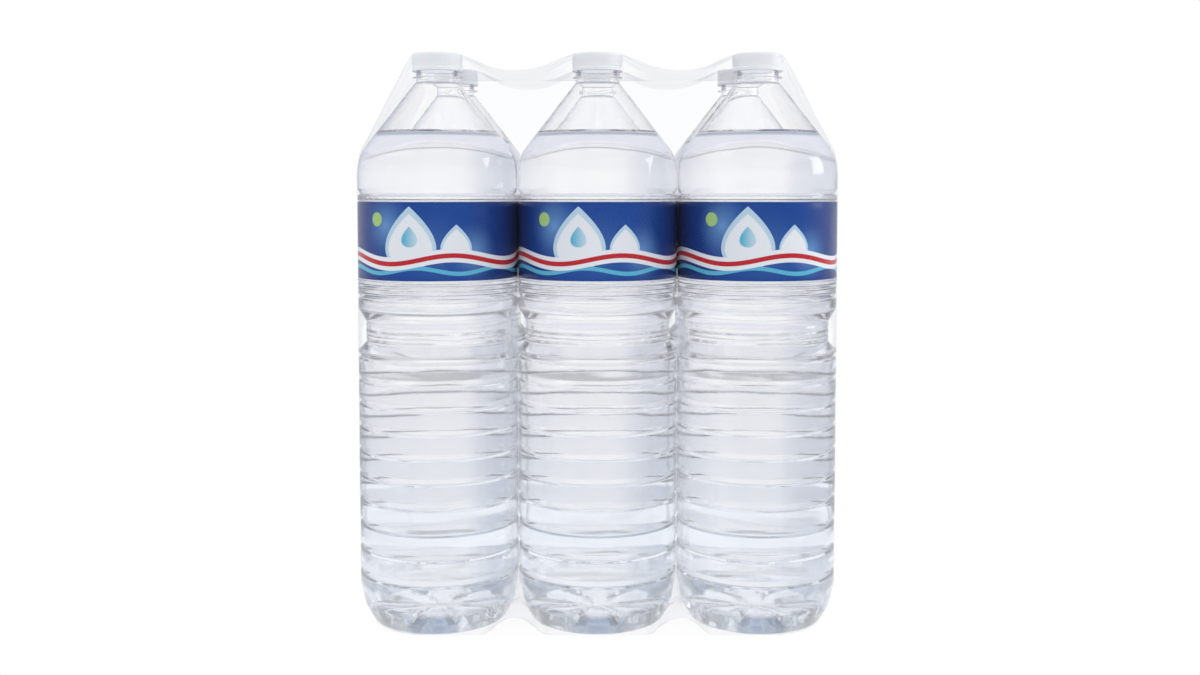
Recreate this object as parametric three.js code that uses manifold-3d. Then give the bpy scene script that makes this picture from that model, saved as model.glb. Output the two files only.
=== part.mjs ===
// A pack of six bottles of still water in clear shrink film, three bottles wide and two deep.
// Millimetres, +Z up, -Y is the front, and the origin is the middle of the underside.
// Each bottle is four pieces: the clear bottle, the water in it, its wrap-round label and its screw cap.
// The film is one thin skin round all six, open at both narrow ends, with the bottles standing on it.
import * as THREE from "three";
import { ConvexGeometry } from "three/addons/geometries/ConvexGeometry.js";
import { mergeVertices } from "three/addons/utils/BufferGeometryUtils.js";
import Module from "manifold-3d";

// The pack
const ROWS = [
  ["front", -1],
  ["back", 1],
];
const COLUMNS = [
  ["left", -1],
  ["middle", 0],
  ["right", 1],
];
const SIDES = 16;
const GAP = 0.3;
const FILM_THICKNESS = 0.3;

// The bottle, with heights from its own foot
const BOTTLE_RADIUS = 44;
const WALL = 0.5;
const FOOT_RADIUS = 34.5;
const HEEL_HEIGHT = 21.5;
const HEEL_TURN = new THREE.Vector2(41.4, 9);
const PUSH_UP_HEIGHT = 9;
const PUSH_UP_RADIUS = 22;
const LOBE_RISE = 9;
const RIB_COUNT = 10;
const RIB_DEPTH = 1.2;
const LOWEST_RIB = 28.2;
const RIB_PITCH = 13.9;
const RIB_PITCH_STEP = -0.17;
const WAIST_HEIGHT = 160;
const WAIST_HALF = 10.4;
const WAIST_RADIUS = 39.2;
const RING_HEIGHT = 179.9;
const SHOULDER_HEIGHT = 249;
const SHOULDER_TURN = new THREE.Vector2(41.9, 258.7);
const CONE_TOP = new THREE.Vector2(12.5, 297);
const NECK_RADIUS = 11.7;
const NECK_BORE = 10.2;
const NECK_TOP = 310.4;
const COLLAR_RADIUS = 14;
const COLLAR_HEIGHT = 298.8;
const WATER_LEVEL = 269.2;
const WATER_LIFT = 3.2;

// The label and the panel that it is wrapped round
const LABEL_LOW = 190.2;
const LABEL_HIGH = 231.6;
const LABEL_THICKNESS = 0.35;
const PANEL_RADIUS = 43.3;

// The cap
const CAP_RADIUS = 13.9;
const CAP_LOW = 303;
const CAP_TOP = 312.4;
const CAP_BORE = 12.1;
const CAP_ROOF = 1.6;
const CAP_ROUND = 0.7;

// The film: how deep it sags between the caps, and the opening that shrinking leaves at each end
const SAG = 11;
const SAG_SIDES = 48;
const EYE_HALF_WIDTH = 36;
const EYE_HALF_HEIGHT = 62;
const EYE_MIDDLE = 130;
const EYE_SIDES = 24;

const PITCH = 2 * BOTTLE_RADIUS + GAP;
const FOOT_LEVEL = FILM_THICKNESS + GAP;
const RIBBED_RADIUS = BOTTLE_RADIUS - RIB_DEPTH;

const wasm = await Module();
wasm.setup();

const point = (radius, height) => new THREE.Vector2(radius, height);

const materials = {
  film: new THREE.MeshStandardMaterial({
    color: 0xf4f6f9, roughness: 0.12, metalness: 0, transparent: true, opacity: 0.15,
  }),
  bottle: new THREE.MeshStandardMaterial({
    color: 0xe6eaf1, roughness: 0.05, metalness: 0, transparent: true, opacity: 0.35,
  }),
  water: new THREE.MeshStandardMaterial({
    color: 0xdce4ee, roughness: 0.02, metalness: 0, transparent: true, opacity: 0.5,
  }),
  label: new THREE.MeshStandardMaterial({ color: 0x22489a, roughness: 0.35, metalness: 0 }),
  cap: new THREE.MeshStandardMaterial({ color: 0xdde3ea, roughness: 0.4, metalness: 0 }),
};

// Solids and meshes

function solidFrom(geometry) {
  const bare = geometry.clone();
  bare.deleteAttribute("normal");
  bare.deleteAttribute("uv");
  const merged = mergeVertices(bare, 1e-4);
  return new wasm.Manifold(
    new wasm.Mesh({
      numProp: 3,
      vertProperties: new Float32Array(merged.attributes.position.array),
      triVerts: new Uint32Array(merged.index.array),
    }),
  );
}

function geometryFrom(solid) {
  const { vertProperties, triVerts, numProp } = solid.getMesh();
  const places = new Float32Array((vertProperties.length / numProp) * 3);
  for (let i = 0; i < places.length / 3; i++) {
    places.set(vertProperties.subarray(i * numProp, i * numProp + 3), i * 3);
  }
  return new THREE.BufferGeometry()
    .setAttribute("position", new THREE.BufferAttribute(places, 3))
    .setIndex(new THREE.BufferAttribute(triVerts, 1));
}

// An outline turned round the upright axis. Its first side starts at the front.
function turned(outline) {
  return new THREE.LatheGeometry(outline, SIDES).rotateX(Math.PI / 2);
}

// The foot has eight lobes: every second upright line rises to a hollow between two of them.
function lobed(geometry) {
  const places = geometry.attributes.position;
  for (let i = 0; i < places.count; i++) {
    const [x, y, z] = [places.getX(i), places.getY(i), places.getZ(i)];
    const radius = Math.hypot(x, y);
    const step = Math.round((Math.atan2(x, -y) / (2 * Math.PI)) * SIDES);
    if (step % 2 || z > HEEL_HEIGHT) continue;
    const outward = THREE.MathUtils.smoothstep(radius, PUSH_UP_RADIUS / 2, FOOT_RADIUS - 2);
    places.setZ(i, z + LOBE_RISE * outward * (1 - z / HEEL_HEIGHT));
  }
  return geometry;
}

// The bottle's outlines

const footOutline = () => [
  point(0, PUSH_UP_HEIGHT),
  point(PUSH_UP_RADIUS, PUSH_UP_HEIGHT * 0.72),
  point(FOOT_RADIUS, 0),
  HEEL_TURN,
];

// Bands at the full radius with a groove under each one
function ribOutline() {
  const outline = [point(BOTTLE_RADIUS, HEEL_HEIGHT)];
  let height = LOWEST_RIB;
  for (let i = 0; i < RIB_COUNT; i++) {
    const pitch = RIB_PITCH + i * RIB_PITCH_STEP;
    outline.push(point(RIBBED_RADIUS, height));
    if (i < RIB_COUNT - 1) outline.push(point(BOTTLE_RADIUS, height + pitch / 2));
    height += pitch;
  }
  return outline;
}

function outsideOutline() {
  return [
    ...footOutline(),
    ...ribOutline(),
    point(BOTTLE_RADIUS, WAIST_HEIGHT - WAIST_HALF),
    point(WAIST_RADIUS, WAIST_HEIGHT),
    point(BOTTLE_RADIUS, WAIST_HEIGHT + WAIST_HALF),
    point(RIBBED_RADIUS, RING_HEIGHT),
    point(BOTTLE_RADIUS, LABEL_LOW - 2),
    point(PANEL_RADIUS, LABEL_LOW - 1),
    point(PANEL_RADIUS, LABEL_HIGH + 1),
    point(BOTTLE_RADIUS, LABEL_HIGH + 4),
    point(BOTTLE_RADIUS, SHOULDER_HEIGHT),
    SHOULDER_TURN,
    CONE_TOP,
    point(COLLAR_RADIUS, COLLAR_HEIGHT),
    point(NECK_RADIUS, COLLAR_HEIGHT + 1.2),
    point(NECK_RADIUS, NECK_TOP),
  ];
}

// The body inside the ribs, a given depth in from the bottom of their grooves and a given lift off the foot
function insideOutline(depth, lift) {
  return [
    point(0, PUSH_UP_HEIGHT + lift),
    point(PUSH_UP_RADIUS, PUSH_UP_HEIGHT * 0.72 + lift),
    point(FOOT_RADIUS, lift),
    point(HEEL_TURN.x - 2 * depth, HEEL_TURN.y + lift),
    point(RIBBED_RADIUS - depth, WAIST_HEIGHT - WAIST_HALF),
    point(WAIST_RADIUS - depth, WAIST_HEIGHT),
    point(RIBBED_RADIUS - depth, WAIST_HEIGHT + WAIST_HALF),
    point(RIBBED_RADIUS - depth, SHOULDER_HEIGHT - 0.5),
    point(SHOULDER_TURN.x - RIB_DEPTH - depth, SHOULDER_TURN.y - 1),
  ];
}

const NECK_INSIDE = point(NECK_BORE, CONE_TOP.y - 1);

function bottle() {
  const inside = [...insideOutline(WALL, WALL), NECK_INSIDE, point(NECK_BORE, NECK_TOP)];
  return lobed(turned([...outsideOutline(), ...inside.reverse()]));
}

function water() {
  const outline = insideOutline(WALL + GAP, WALL + WATER_LIFT);
  const turn = outline[outline.length - 1];
  const rise = (WATER_LEVEL - turn.y) / (NECK_INSIDE.y - turn.y);
  const rimRadius = THREE.MathUtils.lerp(turn.x, NECK_INSIDE.x - GAP, rise);
  outline.push(point(rimRadius, WATER_LEVEL), point(0, WATER_LEVEL));
  return lobed(turned(outline));
}

function label() {
  const inner = PANEL_RADIUS + GAP;
  const outer = inner + LABEL_THICKNESS;
  return turned([
    point(inner, LABEL_LOW),
    point(outer, LABEL_LOW),
    point(outer, LABEL_HIGH),
    point(inner, LABEL_HIGH),
    point(inner, LABEL_LOW),
  ]);
}

function cap() {
  return turned([
    point(0, CAP_TOP - CAP_ROOF),
    point(CAP_BORE, CAP_TOP - CAP_ROOF),
    point(CAP_BORE, CAP_LOW),
    point(CAP_RADIUS, CAP_LOW),
    point(CAP_RADIUS, CAP_TOP - CAP_ROUND),
    point(CAP_RADIUS - CAP_ROUND, CAP_TOP),
    point(0, CAP_TOP),
  ]);
}

// The film

// The tightest skin round the four corner bottles, a given distance out from them
function wrap(distance) {
  const corner = turned([
    point(FOOT_RADIUS + distance, -distance),
    point(HEEL_TURN.x + distance, HEEL_TURN.y - distance / 2),
    point(BOTTLE_RADIUS + distance, HEEL_HEIGHT),
    point(BOTTLE_RADIUS + distance, SHOULDER_HEIGHT),
    point(SHOULDER_TURN.x + distance, SHOULDER_TURN.y),
    point(CAP_RADIUS + distance, CAP_TOP + distance),
  ]).attributes.position;
  const places = [];
  for (const x of [-PITCH, PITCH]) {
    for (const y of [-PITCH / 2, PITCH / 2]) {
      for (let i = 0; i < corner.count; i++) {
        places.push(new THREE.Vector3().fromBufferAttribute(corner, i).add(new THREE.Vector3(x, y, 0)));
      }
    }
  }
  return solidFrom(new ConvexGeometry(places));
}

// What the film leaves free above it between the caps: a long trough across each gap between two rows of caps
function troughs(clearance) {
  const halfChord = PITCH / 2 - CAP_RADIUS - 2 * GAP - FILM_THICKNESS;
  const radius = (halfChord ** 2 + SAG ** 2) / (2 * SAG);
  const middle = CAP_TOP + GAP + FILM_THICKNESS - SAG + radius;
  const trough = new THREE.CylinderGeometry(
    radius + clearance, radius + clearance, 8 * BOTTLE_RADIUS, SAG_SIDES,
  );
  const across = (x) => solidFrom(trough.clone().translate(x, 0, 0)).translate([0, 0, middle]);
  const along = solidFrom(trough.clone().rotateZ(Math.PI / 2)).translate([0, 0, middle]);
  return across(-PITCH / 2).add(across(PITCH / 2)).add(along);
}

function eyes() {
  const outline = new THREE.CylinderGeometry(1, 1, 8 * BOTTLE_RADIUS, EYE_SIDES)
    .rotateZ(Math.PI / 2)
    .scale(1, EYE_HALF_WIDTH, EYE_HALF_HEIGHT)
    .translate(0, 0, EYE_MIDDLE);
  return solidFrom(outline);
}

function film() {
  const outside = wrap(GAP + FILM_THICKNESS).subtract(troughs(0));
  const inside = wrap(GAP).subtract(troughs(FILM_THICKNESS));
  return geometryFrom(outside.subtract(inside).subtract(eyes()));
}

// The pack, put together

const pack = new THREE.Group();

function place(name, geometry, material) {
  const mesh = new THREE.Mesh(geometry, material);
  mesh.name = name;
  mesh.position.z = FOOT_LEVEL;
  return mesh;
}

for (const [row, back] of ROWS) {
  for (const [column, right] of COLUMNS) {
    const one = new THREE.Group();
    one.position.set(right * PITCH, (back * PITCH) / 2, 0);
    one.add(
      place(`bottle_${row}_${column}`, bottle(), materials.bottle),
      place(`water_${row}_${column}`, water(), materials.water),
      place(`label_${row}_${column}`, label(), materials.label),
      place(`cap_${row}_${column}`, cap(), materials.cap),
    );
    pack.add(one);
  }
}
pack.add(place("film", film(), materials.film));

export default pack;
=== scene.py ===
# Finishes for a pack of six water bottles in clear shrink film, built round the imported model.
import math

import bmesh
import bpy
import numpy as np
from mathutils import Matrix, Vector, noise
from mathutils.bvhtree import BVHTree


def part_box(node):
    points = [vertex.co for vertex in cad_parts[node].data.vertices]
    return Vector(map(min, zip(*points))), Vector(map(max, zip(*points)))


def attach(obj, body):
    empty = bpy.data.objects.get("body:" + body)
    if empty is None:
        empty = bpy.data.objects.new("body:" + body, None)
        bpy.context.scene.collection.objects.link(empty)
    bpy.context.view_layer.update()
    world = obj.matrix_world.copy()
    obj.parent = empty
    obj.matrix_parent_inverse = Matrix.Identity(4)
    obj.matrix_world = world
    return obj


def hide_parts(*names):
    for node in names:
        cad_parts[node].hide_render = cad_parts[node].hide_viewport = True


bl_info = {
    "name": "Water Bottle Pack",
    "version": (1, 0, 0),
    "blender": (4, 5, 0),
    "location": "3D View > Sidebar > Bottle Pack",
    "description": "Builds clear bottles, water, labels, caps and shrink film round the packed model",
    "category": "Object",
}

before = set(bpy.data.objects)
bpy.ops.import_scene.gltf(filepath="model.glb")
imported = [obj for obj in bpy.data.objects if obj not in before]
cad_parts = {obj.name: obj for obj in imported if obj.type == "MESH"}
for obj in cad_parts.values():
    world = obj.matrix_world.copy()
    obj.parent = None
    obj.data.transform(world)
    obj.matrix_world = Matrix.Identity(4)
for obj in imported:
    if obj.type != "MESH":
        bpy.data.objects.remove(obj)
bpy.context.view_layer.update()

MM = 0.001
SAME_POINT = 1e-6
STANDS = [f"{row}_{column}" for row in ("front", "back") for column in ("left", "middle", "right")]
MODEL_STAND = "front_middle"


def radius_of(kind):
    """Outer radius of the model bottle's node of a kind."""
    low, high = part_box(f"{kind}_{MODEL_STAND}")
    return (high.x - low.x) / 2


def axis_of(stand):
    """The point on the ground under the middle of a bottle."""
    low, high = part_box(f"cap_{stand}")
    return Vector(((low.x + high.x) / 2, (low.y + high.y) / 2, 0))


def heights_of(kind):
    """Lowest and highest point of the model bottle's node of a kind, above the bottle's foot."""
    low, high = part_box(f"{kind}_{MODEL_STAND}")
    return low.z - FOOT, high.z - FOOT


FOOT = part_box(f"bottle_{MODEL_STAND}")[0].z
NECK_TOP = heights_of("bottle")[1]
WATER_LEVEL = heights_of("water")[1]
LABEL_LOW, LABEL_HIGH = heights_of("label")
CAP_LOW, CAP_TOP = heights_of("cap")
BOTTLE_RADIUS = radius_of("bottle")
LABEL_RADIUS = radius_of("label")
CAP_RADIUS = radius_of("cap")
AXES = {stand: axis_of(stand) for stand in STANDS}
COLUMN_STEP = AXES["back_right"].x
ROW_OFFSET = AXES["back_right"].y
FILM_LOW, FILM_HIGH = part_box("film")


# Settings that a user may change


def length(name, description, millimetres):
    """A length property with its default given in millimetres."""
    return bpy.props.FloatProperty(
        name=name, description=description, default=millimetres * MM, unit="LENGTH", precision=5
    )


def tint(name, description, colour):
    """A colour property."""
    return bpy.props.FloatVectorProperty(
        name=name, description=description, default=colour, subtype="COLOR", size=3, min=0, max=1
    )


class BottleSettings(bpy.types.PropertyGroup):
    segments: bpy.props.IntProperty(
        name="Segments", description="Sides round a bottle, a multiple of 16", default=48, min=16
    )
    wall: length("Wall", "Thickness of the bottle's side", 0.45)
    thick_wall: length("Thick wall", "Thickness at the neck and the middle of the base", 0.6)
    foot_radius: length("Foot radius", "Middle of the ring that the bottle stands on", 34.5)
    heel_height: length("Heel height", "Where the foot meets the straight side", 21.5)
    push_up: length("Push-up", "Height of the hollow under the base", 10.5)
    push_up_radius: length("Push-up radius", "Radius of the hollow's roof", 27)
    web_height: length("Web height", "Height of the eight webs across the hollow", 6)
    web_width: length("Web width", "Width of a web at its root", 4)
    rib_depth: length("Rib depth", "Depth of the grooves round the body", 1.2)
    rib_width: length("Rib width", "Width of a groove round the body", 4.4)
    lowest_rib: length("Lowest rib", "Height of the lowest groove", 28.2)
    rib_pitch: length("Rib pitch", "Distance from the lowest groove to the next", 13.9)
    rib_pitch_step: length("Rib pitch step", "How much shorter each distance is than the last", 0.17)
    waist_height: length("Waist height", "Height of the middle of the narrow grip", 160)
    waist_half: length("Waist half height", "Half the height of the narrow grip", 10.2)
    waist_depth: length("Waist depth", "Depth of the narrow grip", 4.2)
    ring_height: length("Ring height", "Height of the groove under the label's fine ribs", 179.7)
    shoulder_corner: length("Shoulder corner", "Height where the side would meet the cone", 256)
    cone_radius: length("Cone radius", "Radius of the top of the cone", 12.5)
    cone_top: length("Cone top", "Height of the top of the cone", 296.4)
    neck_radius: length("Neck radius", "Outer radius of the neck", 11.6)
    collar_radius: length("Collar radius", "Outer radius of the ring on the neck", 13.7)
    collar_height: length("Collar height", "Height of the ring on the neck", 299.6)
    waviness: length("Waviness", "How far the thin wall wanders from a true circle", 0.22)
    plastic: tint("Plastic", "Colour of the bottle's plastic", (0.990, 0.991, 0.993))
    # Painted shade: a darker tint of the same plastic low on the body.
    low_painted_shade: tint("Low plastic", "Colour of the plastic low on the body", (0.956, 0.965, 0.977))
    # Painted shade: the dark blue-grey of the hollow base stands for the shade under the bottle, not for
    # thicker plastic.
    base: tint("Base", "Colour of the thicker plastic round the hollow base", (0.44, 0.51, 0.61))
    water: tint("Water", "Colour of the water", (0.987, 0.989, 0.992))
    # Painted shade: the dark outline where the plastic is seen edge on, not a colour of the plastic.
    rim: tint("Rim", "Colour of the plastic where it is seen edge on", (0.36, 0.39, 0.44))


class LabelSettings(bpy.types.PropertyGroup):
    deep: tint("Deep blue", "Colour of the middle of the label", (0.006, 0.066, 0.335))
    navy: tint("Navy", "Colour of the label's sides", (0.014, 0.030, 0.150))
    glow: tint("Glow", "Light blue of the soft glows", (0.16, 0.36, 0.68))
    pale: tint("Pale blue", "Colour of the rims of the drops", (0.56, 0.76, 0.87))
    sky: tint("Sky blue", "Colour of the low wave", (0.12, 0.52, 0.72))
    white: tint("White", "Colour of the drops and the wave round the label", (0.93, 0.95, 0.97))
    red: tint("Red", "Colour of the stripe", (0.60, 0.02, 0.03))
    green: tint("Green", "Colour of the plain spot", (0.42, 0.66, 0.22))


class CapSettings(bpy.types.PropertyGroup):
    ridges: bpy.props.IntProperty(
        name="Ridges", description="Grip ridges round a cap", default=96, min=12
    )
    ridge_depth: length("Ridge depth", "Depth of the grip ridges", 0.22)
    colour: tint("Colour", "Colour of the caps", (0.90, 0.905, 0.91))
    thin_colour: tint("Thin colour", "Colour of the caps where they look paler", (0.95, 0.95, 0.95))


class FilmSettings(bpy.types.PropertyGroup):
    cuts: bpy.props.IntProperty(
        name="Cuts", description="Cuts across each side of the box that is shrunk", default=79, min=8
    )
    thickness: length("Thickness", "Thickness of the film", 0.08)
    clearance: length("Clearance", "Gap between the film and the bottles", 0.3)
    sag: length("Sag", "Depth of the sag between neighbouring caps", 11)
    arch: length("Arch", "Height to which the film draws up between the feet", 12)
    arch_half_width: length("Arch half width", "Half the width of that arch", 15)
    crease: length("Crease", "Height of the creases round the caps and the openings", 0.5)
    eye_half_width: length("Opening half width", "Half the width of the opening at each end", 36)
    eye_half_height: length("Opening half height", "Half the height of the opening at each end", 62)
    eye_middle: length("Opening middle", "Height of the middle of the opening at each end", 130.6)
    rim: length("Rim", "Depth of the turned-in rim round the openings", 1.6)
    relax_steps: bpy.props.IntProperty(
        name="Relax steps", description="Rounds of smoothing that draw the film tight", default=5, min=0
    )


class StudioSettings(bpy.types.PropertyGroup):
    distance: length("Distance", "From the camera to the front row of axes", 700)
    eye_level: length("Eye level", "Height of the camera", 235.3)
    tilt: bpy.props.FloatProperty(
        name="Tilt", description="How far the camera looks down", default=math.radians(3), subtype="ANGLE"
    )
    focal_pixels: bpy.props.FloatProperty(
        name="Focal length in pixels", description="Focal length in pixels of the picture", default=1261.3
    )
    axis_pixel: bpy.props.FloatProperty(
        name="Axis pixel", description="Column of the middle bottle's axis in the picture", default=597.5
    )
    horizon_pixel: bpy.props.FloatProperty(
        name="Horizon pixel", description="Row of the horizon in the picture", default=196
    )
    floor_radius: length("Floor radius", "Radius of the floor", 260)


PICTURE_WIDTH = 1200
PICTURE_HEIGHT = 675
SENSOR_WIDTH = 36


# Outlines and meshes


def rounded(corners):
    """The points of an outline through corners (radius, height, fillet), with fillets as short curves."""
    points = []
    for i, (radius, height, fillet) in enumerate(corners):
        here = Vector((radius, height))
        if not fillet:
            points.append(here)
            continue
        before = Vector(corners[i - 1][:2]) - here
        after = Vector(corners[i + 1][:2]) - here
        bend = math.pi - before.angle(after)
        reach = min(fillet * math.tan(bend / 2), before.length * 0.49, after.length * 0.49)
        start = here + before.normalized() * reach
        end = here + after.normalized() * reach
        steps = max(2, math.ceil(bend / math.radians(16)))
        for k in range(steps + 1):
            t = k / steps
            points.append(start * (1 - t) ** 2 + here * 2 * t * (1 - t) + end * t**2)
    return points


def stepped(points, longest):
    """The same outline with its long straight stretches cut into steps."""
    made = [points[0]]
    for before, after in zip(points, points[1:]):
        steps = max(1, math.ceil((after - before).length / longest))
        made.extend(before.lerp(after, k / steps) for k in range(1, steps + 1))
    return made


def inset(points, depths):
    """The same outline moved in from the bottle's outside, by a depth for each point."""
    path = np.array([tuple(p) for p in points])
    along = np.gradient(path, axis=0)
    along /= np.linalg.norm(along, axis=1)[:, None]
    moved = path + np.array(depths)[:, None] * np.column_stack((-along[:, 1], along[:, 0]))
    moved[:, 0] = np.maximum(moved[:, 0], 0)
    moved[0, 0] = 0
    return [Vector(p) for p in moved]


def turned(points, segments, closed=False):
    """A bmesh of an outline turned round the upright axis, with its faces pointing out."""
    bm = bmesh.new()
    verts = [bm.verts.new((0, -p.x, p.y)) for p in points]
    edges = [bm.edges.new(pair) for pair in zip(verts, verts[1:])]
    if closed:
        edges.append(bm.edges.new((verts[-1], verts[0])))
    bmesh.ops.spin(
        bm,
        geom=verts + edges,
        axis=(0, 0, 1),
        cent=(0, 0, 0),
        angle=2 * math.pi,
        steps=segments,
        use_merge=True,
    )
    bmesh.ops.remove_doubles(bm, verts=bm.verts, dist=SAME_POINT)
    bmesh.ops.recalc_face_normals(bm, faces=bm.faces)
    return bm


def mesh_from(bm, name):
    """A smooth-shaded mesh made from a bmesh, which is freed."""
    for face in bm.faces:
        face.smooth = True
    mesh = bpy.data.meshes.new(name)
    bm.to_mesh(mesh)
    bm.free()
    return mesh


def stand_copies(kind, mesh, *materials, quarter_turns=False):
    """Copies of a mesh at the six places, turned apart if asked, each standing for its CAD node."""
    for material in materials:
        mesh.materials.append(material)
    for number, stand in enumerate(STANDS):
        copy = mesh.copy()
        copy.name = f"{kind}_{stand}_mesh"
        turn = Matrix.Rotation(math.pi / 2 * number, 4, "Z") if quarter_turns else Matrix.Identity(4)
        copy.transform(Matrix.Translation(AXES[stand] + Vector((0, 0, FOOT))) @ turn)
        piece = bpy.data.objects.new(f"clear_{kind}_{stand}", copy)
        bpy.context.scene.collection.objects.link(piece)
        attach(piece, "root")
        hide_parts(f"{kind}_{stand}")
    bpy.data.meshes.remove(mesh)


def smoothstep(low, high, value):
    """Nought below low, one above high, and a smooth rise between."""
    t = min(1, max(0, (value - low) / (high - low)))
    return t * t * (3 - 2 * t)


# Shader maths


def solid(colour):
    """A colour with full alpha."""
    return (*colour, 1)


class Wire:
    """An output socket that takes part in sums as a number does."""

    def __init__(self, board, socket):
        self.board = board
        self.socket = socket

    def out(self, name):
        """Another output of the same node."""
        return Wire(self.board, self.socket.node.outputs[name])

    def math(self, operation, *values):
        """This value put through a Math node with others."""
        return self.board.add("Math", {"operation": operation}, dict(enumerate((self, *values))))

    def clamped(self):
        """This value kept between nought and one."""
        return self.board.add("Clamp", {}, {0: self})

    def __add__(self, other):
        return self.math("ADD", other)

    __radd__ = __add__

    def __mul__(self, other):
        return self.math("MULTIPLY", other)

    __rmul__ = __mul__

    def __sub__(self, other):
        return self.math("SUBTRACT", other)

    def __rsub__(self, other):
        return self.board.add("Math", {"operation": "SUBTRACT"}, {0: other, 1: self})

    def __truediv__(self, other):
        return self.math("DIVIDE", other)

    def __pow__(self, other):
        return self.math("POWER", other)

    def __abs__(self):
        return self.math("ABSOLUTE")


class Board:
    """A node tree that a material or the world is wired on."""

    def __init__(self, tree):
        self.tree = tree
        tree.nodes.clear()

    def add(self, kind, settings=None, values=None, output=0):
        """A node with its settings made first, then its sockets given values or wires."""
        node = self.tree.nodes.new(f"ShaderNode{kind}")
        for name, value in (settings or {}).items():
            if name == "stops":
                elements = node.color_ramp.elements
                while len(elements) < len(value):
                    elements.new(1)
                for element, (place, colour) in zip(elements, value):
                    element.position = place
                    element.color = solid(colour)
            else:
                setattr(node, name, value)
        for name, value in (values or {}).items():
            if isinstance(value, Wire):
                self.tree.links.new(value.socket, node.inputs[name])
            else:
                node.inputs[name].default_value = value
        return Wire(self, node.outputs[output]) if node.outputs else node

    def blend(self, factor, first, second):
        """A colour between two colours."""
        return self.add("Mix", {"data_type": "RGBA"}, {0: factor, 6: first, 7: second}, output=2)

    def noise(self, place, scale, detail):
        """Smooth noise between nought and one."""
        return self.add("TexNoise", {}, {"Vector": place, "Scale": scale, "Detail": detail})

    def shade(self, values):
        """Gives the material one shader with these values."""
        shader = self.add("BsdfPrincipled", {}, values)
        self.add("OutputMaterial", {}, {"Surface": shader})

    def bump(self, height, depth):
        """A normal tipped by a height, where one unit of height is a depth in metres."""
        return self.add("Bump", {}, {"Height": height, "Distance": depth, "Strength": 1})


def from_axis(board, place):
    """How far a place is from the axis of the bottle nearest to it: sideways, and in all."""
    x = board.add("SeparateXYZ", {}, {0: place})
    column = (x / COLUMN_STEP).math("ROUND").math("MINIMUM", 1).math("MAXIMUM", -1)
    aside = x - column * COLUMN_STEP
    return aside, (aside**2 + (abs(x.out("Y")) - ROW_OFFSET) ** 2).math("SQRT")


def material_board(name):
    """A new material and its board. Only the paths find its glow, which keeps a render short."""
    material = bpy.data.materials.new(name)
    material.use_nodes = True
    material.cycles.emission_sampling = "NONE"
    return material, Board(material.node_tree)


# The finish of the clear plastic, with its painted shade and painted glow, with heights above the ground
RIPPLE_DEPTH = 0.25 * MM
SHOULDER_FADE = 12 * MM
BLOWN_FADE = 25 * MM
BLOWN_ROUGHNESS = 0.045
CLEAR_ROUGHNESS = 0.01
LOW_SHADE_HEIGHT = 45 * MM
LOW_SHADE_FADE = 90 * MM
FOOT_HEIGHT = 13 * MM
FOOT_FADE = 6 * MM
BASE_SHADE_RADIUS = 30 * MM
BASE_SHADE_HALF_WIDTH = 3.5 * MM
BASE_SHADE_HEIGHT = 9 * MM
BASE_SHADE_FADE = 1.5 * MM
SEAM_HALF_WIDTH = 11 * MM
SEAM_FADE = 3 * MM
ROOT_SHADE_HALF_HEIGHT = 0.7 * MM
WATER_LINE_SHADE_HALF_HEIGHT = 1.4 * MM
LINE_SHADE = 0.8
EDGE_START = 0.72
EDGE_WIDTH = 0.2
NECK_LEAD = 0.42
NECK_SHADE = 0.7
NECK_THINNING = 0.6
BODY_GLOW = (0.23, 0.235, 0.25)
FOOT_GLOW = (0.70, 0.73, 0.77)


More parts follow.
